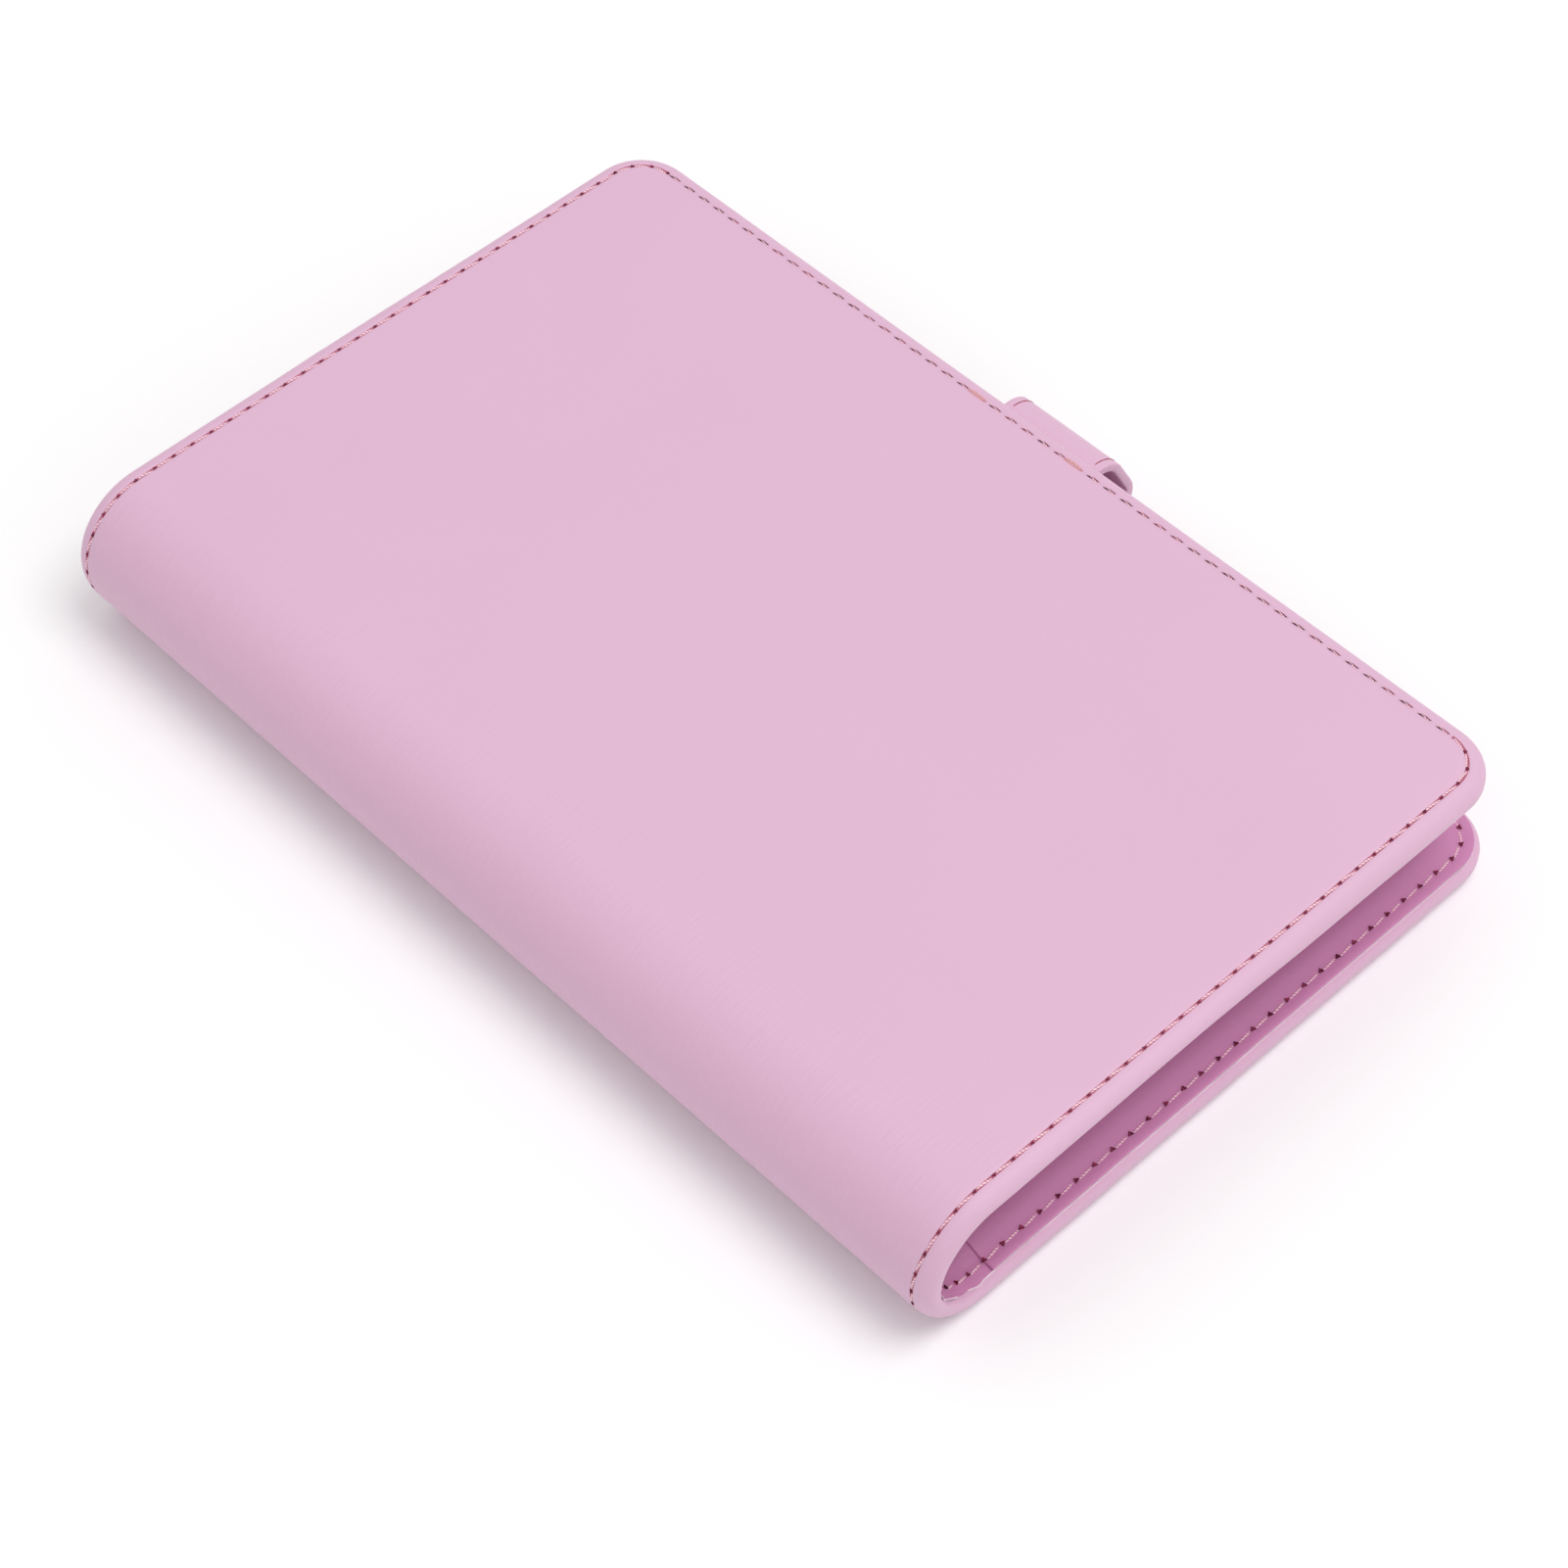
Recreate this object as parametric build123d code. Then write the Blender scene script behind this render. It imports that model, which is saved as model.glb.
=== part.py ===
from build123d import *
from math import acos, atan2, cos, degrees, hypot, radians, sin
import os

# Bifold passport holder: two padded covers joined by a soft rounded spine, with a
# passport pocket sewn inside each cover and a pen loop on the front cover's fore edge.
# Frame: the case is closed and lies on its back cover. X runs from the spine to the
# fore edge, Y from tail to head, Z up. The origin is the middle of the footprint.
# All sizes are in millimetres.

# overall sizes
length = 150.0              # head to tail
front_width = 97.5          # spine's outermost line to the front cover's fore edge
back_overhang = 2.4         # how far the back cover reaches past the front one
closed_thickness = 20.5     # the spine is a half round of this diameter
corner_radius = 7.35        # fore corners

# layers of a cover, from the outside in
skin_thickness = 0.8
foam_thickness = 0.9
board_thickness = 1.8
hem_thickness = 0.4         # the skin's turned edge, skived thin
liner_thickness = 0.5
pocket_sheet = 0.5
pocket_slit = 0.3           # slack between liner and pocket for a passport's cover

# edges
rim_outer_round = 2.4
rim_inner_round = 0.8
hem_width = 9.0
liner_margin = 0.5          # liner's cut edge, inside the rim
board_inset = 5.4           # board's edge, inside the rim
board_setback = 1.0         # from the start of the spine's bend
mouth_setback = 1.5         # pocket's mouth, from the start of the spine's bend

# seam
stitch_inset = 2.35
groove_width = 0.8
groove_depth = 0.4
thread_width = 0.5
thread_thickness = 0.3
tack_length = 3.2
tack_places = (10.2, -6.5)  # along Y from the middle of the fore edge

# spine: one soft sheet, divided where it folds
spine_folds = 6
fold_gap = 0.2              # between two neighbouring strips, at the outside

# pen loop
loop_width = 16.5
loop_strap = 0.9
loop_lip = 1.2              # straight run before the strap curls down
loop_root_drop = 2.25       # from the front cover's outer face to the strap
loop_shoulder = 4.4         # radius of the upper bend
loop_slack = 0.85           # the lower bend's radius is half the gap between the covers less this
loop_out = 3.7              # middle of the lower bend, past the fore edge
loop_clearance = 0.3        # above the back cover, and below the front one
loop_wall_gap = 0.05        # between the strap and the rim it hangs beside
tongue_depth = 3.0          # strap end sewn into the rim
loop_seam_inset = 1.15
loop_seam_width = 0.5
loop_seam_depth = 0.25

# worked out from the sizes above
spine_radius = closed_thickness / 2
cover_thickness = skin_thickness + foam_thickness + board_thickness + hem_thickness
liner_face = cover_thickness + liner_thickness
pocket_face = liner_face + pocket_slit + pocket_sheet
fold_angle = 180 / spine_folds
half_length = length / 2
loop_round = spine_radius - pocket_face - loop_slack
loop_middle_z = pocket_face + loop_clearance + loop_round
loop_reach = loop_out + loop_round
footprint = front_width + max(loop_reach, back_overhang)
spine_x = spine_radius - footprint / 2
front_fore_x = front_width - footprint / 2
back_fore_x = front_fore_x + back_overhang
mouth_x = spine_x + mouth_setback
past = 5.0                  # how far a cutting tool runs past what it cuts

spine_axis = Axis((spine_x, 0, spine_radius), (0, 1, 0))
turn_axis = Axis((0, 0, spine_radius), (1, 0, 0))
parts = {}


def outline(inset, x_from, x_to):
    """Cover's outline moved in by inset. The fore corners are round until the inset uses them up."""
    half = half_length - inset
    fore = x_to - inset
    face = make_face(Polyline((x_from, -half), (fore, -half), (fore, half), (x_from, half), close=True))
    corners = face.vertices().filter_by(lambda v: v.X > fore - 0.01)
    return fillet(corners, corner_radius - inset) if inset < corner_radius else face


def plate(inset, x_from, x_to, z_from, z_to):
    """Flat layer of a cover between two heights above the back cover's outer face."""
    return Pos(0, 0, z_from) * extrude(outline(inset, x_from, x_to), z_to - z_from)


def u_band(inset, width, x_from, x_to, z_from, z_to):
    """Band that follows the tail, fore and head edges, open towards the spine."""
    outer = plate(inset - width / 2, x_from, x_to, z_from, z_to)
    inner = plate(inset + width / 2, x_from - past, x_to, z_from - past, z_to + past)
    return outer - inner


def rounded_slab(side_inset, outer_inset, inner_inset, x_from, x_to):
    """Cover body with its soft rim, or the hollow in it when the insets are walls."""
    low = outer_inset
    high = cover_thickness - inner_inset
    slab = plate(side_inset, x_from, x_to, low, high)
    free = slab.edges().filter_by(lambda e: e.center().X > x_from + 0.01)
    slab = fillet(free.filter_by_position(Axis.Z, low, low), rim_outer_round - outer_inset)
    free = slab.edges().filter_by(lambda e: e.center().X > x_from + 0.01)
    return fillet(free.filter_by_position(Axis.Z, high, high), rim_inner_round - inner_inset)


def ring_section(half, depth_from, depth_to):
    """Section of a bent layer, drawn with Y across and the depth from outside upwards."""
    return Pos(0, (depth_from + depth_to) / 2) * Rectangle(2 * half, depth_to - depth_from)


def rounded_section(side_inset, outer_inset, inner_inset):
    """The same section as rounded_slab has, for the spine."""
    high = cover_thickness - inner_inset
    section = ring_section(half_length - side_inset, outer_inset, high)
    outer = section.vertices().filter_by(lambda v: v.Y < outer_inset + 0.01)
    section = fillet(outer, rim_outer_round - outer_inset)
    inner = section.vertices().filter_by(lambda v: v.Y > high - 0.01)
    return fillet(inner, rim_inner_round - inner_inset)


def bend(section, angle_from, angle_to):
    """Turn a section around the spine's axis, from the back cover towards the front one."""
    start = Plane(origin=(spine_x, 0, 0), x_dir=(0, 1, 0), z_dir=(1, 0, 0))
    turned = (start * section).rotate(spine_axis, angle_from)
    return revolve(turned, spine_axis, angle_to - angle_from)


def bent_layer(half, depth_from, depth_to, angle_from, angle_to):
    return bend(ring_section(half, depth_from, depth_to), angle_from, angle_to)


def bent_pair(inset, width, depth_from, depth_to, angle_from, angle_to):
    """Two narrow bands around the bend, one near the tail and one near the head."""
    near = bent_layer(half_length - inset + width / 2, depth_from, depth_to, angle_from, angle_to)
    middle = bent_layer(half_length - inset - width / 2, depth_from - past, depth_to + past / 2,
                        angle_from - past, angle_to + past)
    return near - middle


def skin_bend(angle_from, angle_to):
    """Outer skin around the bend, with its hems and the groove that the seam lies in."""
    body = bend(rounded_section(0, 0, 0), angle_from, angle_to)
    hollow = bend(rounded_section(skin_thickness, skin_thickness, hem_thickness),
                  angle_from - past, angle_to + past)
    window = bent_layer(half_length - hem_width, cover_thickness - hem_thickness - 0.1,
                        cover_thickness + 0.1, angle_from - past, angle_to + past)
    groove = bent_pair(stitch_inset, groove_width, -0.1, groove_depth, angle_from - past, angle_to + past)
    return body - hollow - window - groove


def seam_bend(angle_from, angle_to):
    """Seam thread around the bend: the line outside and the line on the liner."""
    outside = bent_pair(stitch_inset, thread_width, groove_depth - thread_thickness, groove_depth,
                        angle_from, angle_to)
    inside = bent_pair(stitch_inset, thread_width, liner_face, liner_face + thread_thickness,
                       angle_from, angle_to)
    return outside + inside


def cover(name, fore_x):
    """The layers of one cover, lying with its outer face down as the back cover does."""
    lip_angle = fold_angle / 2 - degrees(fold_gap / 2 / spine_radius)
    start = spine_x

    body = rounded_slab(0, 0, 0, start, fore_x)
    hollow = rounded_slab(skin_thickness, skin_thickness, hem_thickness, start - 0.5, fore_x)
    window = plate(hem_width, start - 0.5, fore_x, cover_thickness - hem_thickness - 0.1, cover_thickness + 0.1)
    groove = u_band(stitch_inset, groove_width, start - 0.5, fore_x, -0.1, groove_depth)
    skin = (body - hollow - window - groove) + skin_bend(0, lip_angle)

    board = plate(board_inset, start + board_setback, fore_x,
                  skin_thickness + foam_thickness, cover_thickness - hem_thickness)

    foam = rounded_slab(skin_thickness, skin_thickness, hem_thickness, start, fore_x) - board
    foam = foam + bend(rounded_section(skin_thickness, skin_thickness, hem_thickness), 0, lip_angle)

    liner = plate(liner_margin, start, fore_x, cover_thickness, liner_face)
    liner = liner + bent_layer(half_length - liner_margin, cover_thickness, liner_face, 0, lip_angle)

    pocket = plate(liner_margin, mouth_x, fore_x, liner_face, pocket_face)
    slack_inset = stitch_inset + thread_width
    pocket = pocket - plate(slack_inset, mouth_x - past, fore_x, liner_face - 0.1, liner_face + pocket_slit)

    seam = u_band(stitch_inset, thread_width, start, fore_x, groove_depth - thread_thickness, groove_depth)
    seam = seam + u_band(stitch_inset, thread_width, mouth_x, fore_x, pocket_face, pocket_face + thread_thickness)
    short = u_band(stitch_inset, thread_width, start, fore_x, liner_face, liner_face + thread_thickness)
    beyond_mouth = Pos(mouth_x + footprint, 0, 0) * Box(2 * footprint, 2 * length, 2 * closed_thickness)
    seam = seam + (short - beyond_mouth) + seam_bend(0, lip_angle)

    return {
        name + "_outer_skin": skin,
        name + "_foam_padding": foam,
        name + "_stiffener_board": board,
        name + "_liner": liner,
        name + "_passport_pocket": pocket,
        name + "_seam_thread": seam,
    }


def spine_strip(number):
    """One strip of the spine between two fold lines."""
    half_gap = degrees(fold_gap / 2 / spine_radius)
    angle_from = fold_angle * (number - 0.5) + half_gap
    angle_to = fold_angle * (number + 0.5) - half_gap
    name = f"spine_strip_{number}"
    foam = bend(rounded_section(skin_thickness, skin_thickness, hem_thickness), angle_from, angle_to)
    liner = bent_layer(half_length - liner_margin, cover_thickness, liner_face, angle_from, angle_to)
    return {
        name + "_skin": skin_bend(angle_from, angle_to),
        name + "_foam": foam,
        name + "_liner": liner,
        name + "_thread": seam_bend(angle_from, angle_to),
    }


def on_circle(centre, radius, angle):
    return (centre[0] + radius * cos(radians(angle)), centre[1] + radius * sin(radians(angle)))


def loop_outline(inset):
    """Outer line of the pen loop, moved in by inset, as a face in X and Z."""
    wall_x = front_fore_x + loop_wall_gap
    root_z = closed_thickness - loop_root_drop
    shoulder = (front_fore_x + loop_lip, root_z - loop_shoulder)
    middle = (front_fore_x + loop_out, loop_middle_z)
    knee = (wall_x, closed_thickness - pocket_face - loop_clearance)

    apart = hypot(middle[0] - shoulder[0], middle[1] - shoulder[1])
    side = degrees(atan2(middle[1] - shoulder[1], middle[0] - shoulder[0])
                   + acos((loop_shoulder - loop_round) / apart))
    to_knee = hypot(knee[0] - middle[0], knee[1] - middle[1])
    leave = degrees(atan2(knee[1] - middle[1], knee[0] - middle[0]) + acos(loop_round / to_knee))
    climb = radians(leave - 90)
    knee_in = (wall_x + inset, knee[1] - inset * cos(climb) / (1 + sin(climb)))

    big = loop_shoulder - inset
    small = loop_round - inset
    top = Line((wall_x + inset, root_z - inset), (shoulder[0], root_z - inset))
    far = ThreePointArc(top @ 1, on_circle(shoulder, big, (90 + side) / 2), on_circle(shoulder, big, side))
    fall = Line(far @ 1, on_circle(middle, small, side))
    low = ThreePointArc(fall @ 1, on_circle(middle, small, (side + leave - 360) / 2),
                        on_circle(middle, small, leave))
    back = Line(low @ 1, knee_in)
    wall = Line(knee_in, top @ 0)
    return make_face([top, far, fall, low, back, wall])


def along_y(face, y_from, y_to):
    """Stand a face drawn in X and Z upright and give it its width along Y."""
    upright = Plane(origin=(0, y_to, 0), x_dir=(1, 0, 0), z_dir=(0, -1, 0))
    return extrude(upright * face, y_to - y_from)


def pen_loop():
    """Strap bent into a loop, with both ends sewn into the front cover's rim."""
    half = loop_width / 2
    ring = along_y(loop_outline(0), -half, half) - along_y(loop_outline(loop_strap), -half - past, half + past)
    tongue_run = tongue_depth + loop_wall_gap
    tongue = Pos(front_fore_x + loop_wall_gap - tongue_run / 2, 0,
                 closed_thickness - loop_root_drop - loop_strap / 2) * Box(tongue_run, loop_width, loop_strap)
    band = loop_outline(0) - loop_outline(loop_seam_depth)
    start_x = front_fore_x + loop_lip
    keep = Pos(start_x + footprint / 2, 0, 0) * Box(footprint, 2 * length, 4 * closed_thickness)
    seams = []
    for side in (-1, 1):
        middle = side * (half - loop_seam_inset)
        line = along_y(band, middle - loop_seam_width / 2, middle + loop_seam_width / 2)
        seams.append(line & keep)
    stitching = seams[0] + seams[1]
    return ring + tongue - stitching, stitching, tongue


def bar_tacks():
    """Doubled stitches on the front cover's fore seam, at both ends of the pen loop."""
    x = front_fore_x - stitch_inset
    z = closed_thickness - groove_depth / 2 - 0.025
    tacks = [Pos(x, y, z) * Box(groove_width, tack_length, groove_depth - 0.05) for y in tack_places]
    return tacks[0] + tacks[1]


parts.update(cover("back_cover", back_fore_x))
for node, shape in cover("front_cover", front_fore_x).items():
    parts[node] = shape.rotate(turn_axis, 180)
for number in range(1, spine_folds):
    parts.update(spine_strip(number))

loop, loop_stitching, loop_tongue = pen_loop()
tacks = bar_tacks()
parts["pen_loop"] = loop
parts["pen_loop_stitching"] = loop_stitching
parts["fore_seam_bar_tacks"] = tacks
for node in ("front_cover_outer_skin", "front_cover_foam_padding"):
    parts[node] = parts[node] - loop_tongue
parts["front_cover_seam_thread"] = parts["front_cover_seam_thread"] - tacks

os.makedirs("parts", exist_ok=True)
for node, shape in parts.items():
    export_step(shape, f"parts/{node}.step")
    box = shape.bounding_box()
    print(f"{node}: {len(shape.solids())} solid(s), {shape.volume:.1f} mm3, z {box.min.Z:.2f} to {box.max.Z:.2f}")
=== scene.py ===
import math
import bpy
from mathutils import Matrix, Vector, noise


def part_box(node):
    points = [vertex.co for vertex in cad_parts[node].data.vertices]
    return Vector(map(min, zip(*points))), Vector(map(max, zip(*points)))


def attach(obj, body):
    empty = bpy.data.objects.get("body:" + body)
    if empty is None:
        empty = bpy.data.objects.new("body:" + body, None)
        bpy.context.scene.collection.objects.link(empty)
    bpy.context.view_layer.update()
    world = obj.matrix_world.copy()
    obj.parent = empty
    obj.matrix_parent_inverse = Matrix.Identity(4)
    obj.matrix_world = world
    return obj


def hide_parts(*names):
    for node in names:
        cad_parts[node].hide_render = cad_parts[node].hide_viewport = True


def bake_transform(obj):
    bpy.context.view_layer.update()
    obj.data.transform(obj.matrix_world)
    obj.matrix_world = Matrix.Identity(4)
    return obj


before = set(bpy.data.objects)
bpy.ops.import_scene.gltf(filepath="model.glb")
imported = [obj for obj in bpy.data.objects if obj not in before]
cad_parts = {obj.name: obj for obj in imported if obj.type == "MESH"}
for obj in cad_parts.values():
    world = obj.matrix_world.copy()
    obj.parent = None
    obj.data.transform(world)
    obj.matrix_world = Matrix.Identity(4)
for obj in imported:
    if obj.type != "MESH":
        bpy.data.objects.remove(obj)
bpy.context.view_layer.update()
mm = 0.001

# main sizes, read off the frame
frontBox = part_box("front_cover_outer_skin")
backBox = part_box("back_cover_outer_skin")
halfLength = frontBox[1].y
spineRadius = frontBox[1].z / 2
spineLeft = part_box("spine_strip_3_skin")[0].x
spineX = spineLeft + spineRadius
frontFore = frontBox[1].x
backFore = backBox[1].x

# The soft layers are made as one unrolled case: Z runs from the back cover's fore edge to the
# front cover's, with 0 at the middle of the spine, Y from tail to head, and X is the depth
# from the outer face inwards. A bend then wraps them round the spine.
bendHalf = math.pi * spineRadius / 2
frontEnd = bendHalf + frontFore - spineX
backEnd = bendHalf + backFore - spineX
folds = 6
foldAngle = math.pi / folds
sections = ["back_cover"] + [f"spine_{n}" for n in range(1, folds - 1)] + ["front_cover"]

# faces are depths from the outside of the skin
layers = {
    "skinThickness": 0.6 * mm, "coverThickness": 3.9 * mm, "linerFace": 4.4 * mm, "pocketFace": 5.2 * mm,
    "outerRound": 2.4 * mm, "innerRound": 0.8 * mm, "foamRound": 0.4 * mm, "hem": 6.5 * mm,
    "cornerRadius": 7.35 * mm, "cornerSteps": 14, "linerMargin": 0.8 * mm, "foamInset": 0.8 * mm,
}
# rings of edges along the rim, and the ring where the board's edge shows through
rimRings = [2.4 * mm, 3.2 * mm, 3.9 * mm, 4.6 * mm, 5.4 * mm]
boardEdge = 6.2 * mm
# rim: share left at places along the unrolled case, in mm from the middle of the spine
press = {"bend": 0.7, "bendTo": 6 * mm, "bendFrom": 17 * mm, "rimTo": 2.6 * mm, "rimFrom": 5.4 * mm,
         "rim": ((-20, 0.8), (-6, 0.68), (6, 0.68), (30, 0.6), (48, 0.54), (70, 0.72), (100, 0.86))}
innerStart = layers["coverThickness"] - layers["innerRound"]


def selectOnly(piece):
    bpy.ops.object.select_all(action="DESELECT")
    bpy.context.view_layer.objects.active = piece
    piece.select_set(True)


def startEdit(piece, mode="FACE"):
    selectOnly(piece)
    bpy.ops.object.mode_set(mode="EDIT")
    bpy.ops.mesh.select_mode(type=mode)
    bpy.ops.mesh.select_all(action="SELECT")


def endEdit():
    bpy.ops.object.mode_set(mode="OBJECT")


def selectFaces(piece, wanted):
    # called in edit mode, and stays there
    bpy.ops.mesh.select_all(action="DESELECT")
    bpy.ops.object.mode_set(mode="OBJECT")
    for face in piece.data.polygons:
        face.select = wanted(face)
    bpy.ops.object.mode_set(mode="EDIT")


def extrude(x, y, z):
    bpy.ops.mesh.extrude_region_move(TRANSFORM_OT_translate={"value": (x, y, z)})


def cutAt(place, axis, **settings):
    # in edit mode: one straight cut through the whole piece, square to Y or Z
    point = (0, place, 0) if axis == "Y" else (0, 0, place)
    normal = (0, 1, 0) if axis == "Y" else (0, 0, 1)
    bpy.ops.mesh.select_all(action="SELECT")
    bpy.ops.mesh.bisect(plane_co=point, plane_no=normal, **settings)


def applyPlace(piece):
    selectOnly(piece)
    bpy.ops.object.transform_apply(location=True, rotation=True, scale=True)


def addModifier(piece, kind, **settings):
    # added and applied at once
    selectOnly(piece)
    modifier = piece.modifiers.new(kind.title(), kind)
    for key, value in settings.items():
        setattr(modifier, key, value)
    bpy.ops.object.modifier_apply(modifier=modifier.name)


def smooth(piece, angle):
    selectOnly(piece)
    bpy.ops.object.shade_smooth_by_angle(angle=math.radians(angle))


def copyPiece(piece, name):
    twin = piece.copy()
    twin.data = piece.data.copy()
    twin.name = name
    bpy.context.scene.collection.objects.link(twin)
    return twin


def joinPieces(pieces, name):
    bpy.ops.object.select_all(action="DESELECT")
    for piece in pieces:
        piece.select_set(True)
    bpy.context.view_layer.objects.active = pieces[0]
    bpy.ops.object.join()
    pieces[0].name = name
    applyPlace(pieces[0])
    return pieces[0]


def arc(centre, radius, start, end, steps):
    points = []
    for number in range(steps + 1):
        turn = start + (end - start) * number / steps
        points.append((centre[0] + radius * math.cos(turn), centre[1] + radius * math.sin(turn)))
    return points


def colour(hexCode, strength=1.0):
    # sRGB hex to linear
    parts = [int(hexCode[n:n + 2], 16) / 255 for n in (1, 3, 5)]
    linear = [p / 12.92 if p <= 0.04045 else ((p + 0.055) / 1.055) ** 2.4 for p in parts]
    return (*[p * strength for p in linear], 1.0)


def addNode(tree, kind, sockets=None, **settings):
    node = tree.nodes.new(kind)
    for key, value in settings.items():
        setattr(node, key, value)
    for socket, value in (sockets or {}).items():
        if isinstance(value, bpy.types.NodeSocket):
            tree.links.new(value, node.inputs[socket])
        else:
            node.inputs[socket].default_value = value
    return node


def startMaterial(name):
    material = bpy.data.materials.new(name)
    material.use_nodes = True
    tree = material.node_tree
    return material, tree, tree.nodes["Principled BSDF"]


# polyurethane coat on knitted fabric: an even satin face, faintly clouded, with a 0.45 mm grain,
# and slanting pulls 0.5 mm apart and 5 mm long where it is stretched over the bend
coat = {"cloud": 22 * mm, "specular": 0.35, "sheen": 0.08,
        "grain": 0.45 * mm, "grainDepth": 0.02 * mm, "grainStrength": 0.35,
        "pullLength": 5 * mm, "pullApart": 0.5 * mm, "pullDepth": 0.12 * mm, "pullStrength": 0.8,
        "pullSlant": 45, "pullsFull": -2 * mm, "pullsGone": 14 * mm, "pullsLeast": 0.1}


def coatedFabric(name, base, shade, roughness):
    material, tree, shader = startMaterial(name)
    place = addNode(tree, "ShaderNodeTexCoord").outputs["Object"]
    cloud = addNode(tree, "ShaderNodeTexNoise", {
        "Vector": place, "Scale": 1 / coat["cloud"], "Detail": 2.0})
    tint = addNode(tree, "ShaderNodeValToRGB", {"Fac": cloud.outputs["Fac"]})
    tint.color_ramp.elements[0].color = colour(base)
    tint.color_ramp.elements[1].color = colour(shade)
    tree.links.new(tint.outputs["Color"], shader.inputs["Base Color"])
    shader.inputs["Roughness"].default_value = roughness
    shader.inputs["Specular IOR Level"].default_value = coat["specular"]
    shader.inputs["Sheen Weight"].default_value = coat["sheen"]
    grain = addNode(tree, "ShaderNodeTexVoronoi", {"Vector": place, "Scale": 1 / coat["grain"]})
    fine = addNode(tree, "ShaderNodeBump", {
        "Height": grain.outputs["Distance"], "Strength": coat["grainStrength"],
        "Distance": coat["grainDepth"]})
    stretched = (1 / coat["pullLength"], 1 / coat["pullApart"], 1 / coat["pullLength"])
    streak = addNode(tree, "ShaderNodeMapping", {
        "Vector": place, "Rotation": (0, 0, math.radians(coat["pullSlant"])), "Scale": stretched})
    pull = addNode(tree, "ShaderNodeTexNoise", {
        "Vector": streak.outputs["Vector"], "Scale": 1.0, "Detail": 2.0})
    across = addNode(tree, "ShaderNodeSeparateXYZ", {"Vector": place}).outputs["X"]
    near = addNode(tree, "ShaderNodeMapRange", {
        "Value": across, "From Min": spineX + coat["pullsGone"], "From Max": spineX + coat["pullsFull"],
        "To Min": coat["pullsLeast"], "To Max": 1.0})
    height = addNode(tree, "ShaderNodeMath", {0: pull.outputs["Fac"], 1: near.outputs["Result"]},
                     operation="MULTIPLY")
    wave = addNode(tree, "ShaderNodeBump", {
        "Height": height.outputs[0], "Strength": coat["pullStrength"], "Distance": coat["pullDepth"],
        "Normal": fine.outputs["Normal"]})
    tree.links.new(wave.outputs["Normal"], shader.inputs["Normal"])
    return material


speckle = {"dark": 0.82, "pale": 1.1, "detail": 4.0, "strength": 0.4}


def plainStuff(name, base, roughness, scale, depth):
    # one colour, finely speckled; scale and depth of the specks are in mm
    material, tree, shader = startMaterial(name)
    place = addNode(tree, "ShaderNodeTexCoord").outputs["Object"]
    speck = addNode(tree, "ShaderNodeTexNoise", {
        "Vector": place, "Scale": 1 / (scale * mm), "Detail": speckle["detail"]})
    ramp = addNode(tree, "ShaderNodeValToRGB", {"Fac": speck.outputs["Fac"]})
    ramp.color_ramp.elements[0].color = colour(base, speckle["dark"])
    ramp.color_ramp.elements[1].color = colour(base, speckle["pale"])
    tree.links.new(ramp.outputs["Color"], shader.inputs["Base Color"])
    shader.inputs["Roughness"].default_value = roughness
    bump = addNode(tree, "ShaderNodeBump", {
        "Height": speck.outputs["Fac"], "Strength": speckle["strength"], "Distance": depth * mm})
    tree.links.new(bump.outputs["Normal"], shader.inputs["Normal"])
    return material


# two-ply polyester thread: slanting plies, pale on top in the thread's own colour, with painted shade in
# deep pink between them
thread = {"lay": (2.0, 8.0, 1.0), "plies": 0.5, "paleFrom": 0.3, "roughness": 0.45, "sheen": 0.2}


def twistedThread(name, pale, dark):
    material, tree, shader = startMaterial(name)
    surface = addNode(tree, "ShaderNodeUVMap").outputs["UV"]
    turn = addNode(tree, "ShaderNodeMapping", {"Vector": surface, "Scale": thread["lay"]})
    ply = addNode(tree, "ShaderNodeTexWave", {
        "Vector": turn.outputs["Vector"], "Scale": thread["plies"], "Distortion": 0.0},
        bands_direction="DIAGONAL")
    ramp = addNode(tree, "ShaderNodeValToRGB", {"Fac": ply.outputs["Fac"]})
    # dark is painted shade between the plies, pale is the thread's own colour
    ramp.color_ramp.elements[0].color = colour(dark)
    ramp.color_ramp.elements[1].color = colour(pale)
    ramp.color_ramp.elements[1].position = thread["paleFrom"]
    tree.links.new(ramp.outputs["Color"], shader.inputs["Base Color"])
    shader.inputs["Roughness"].default_value = thread["roughness"]
    shader.inputs["Sheen Weight"].default_value = thread["sheen"]
    return material


outsideFabric = coatedFabric("polyurethane-coated fabric, satin", "#DDB3CD", "#DAB0CA", 0.5)
# the lining is a deeper pink than the outside: partly its own colour, partly painted shade for the narrow
# gap between the covers
liningWithPaintedShade = coatedFabric("polyurethane-coated lining, matt, deepened by painted shade", "#CD89B5", "#C985B0", 0.6)
# painted shade: deep pink on the floor of the stitch grooves, where the thread lies in shadow
grooveShade = plainStuff("painted shade on the floor of the stitch groove", "#B4617A", 0.7, 0.4, 0.02)
# pale: the cut edge's own backing, and a painted highlight along the liner's edge
cutEdgeAndHighlight = plainStuff("cut edge of coated fabric, pale backing", "#F4DCE9", 0.8, 0.3, 0.02)
foamSheet = plainStuff("polyethylene foam sheet", "#E9DDE4", 0.85, 0.8, 0.1)
greyboard = plainStuff("greyboard, matt", "#8F877E", 0.9, 1.2, 0.05)
seamThread = twistedThread("two-ply polyester thread, pale pink", "#F7D2DE", "#B95873")
loopThread = twistedThread("two-ply polyester thread, deep pink", "#AE4662", "#77263E")
tackThread = twistedThread("two-ply polyester thread, salmon", "#F0BCC2", "#B04A5C")
# painted shade: dark maroon in the needle holes and in the lines beside the fore stitches
holeShade = plainStuff("painted shade in needle holes and beside fore stitches", "#A03557", 0.9, 0.3, 0.02)
print("materials ready")


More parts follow.
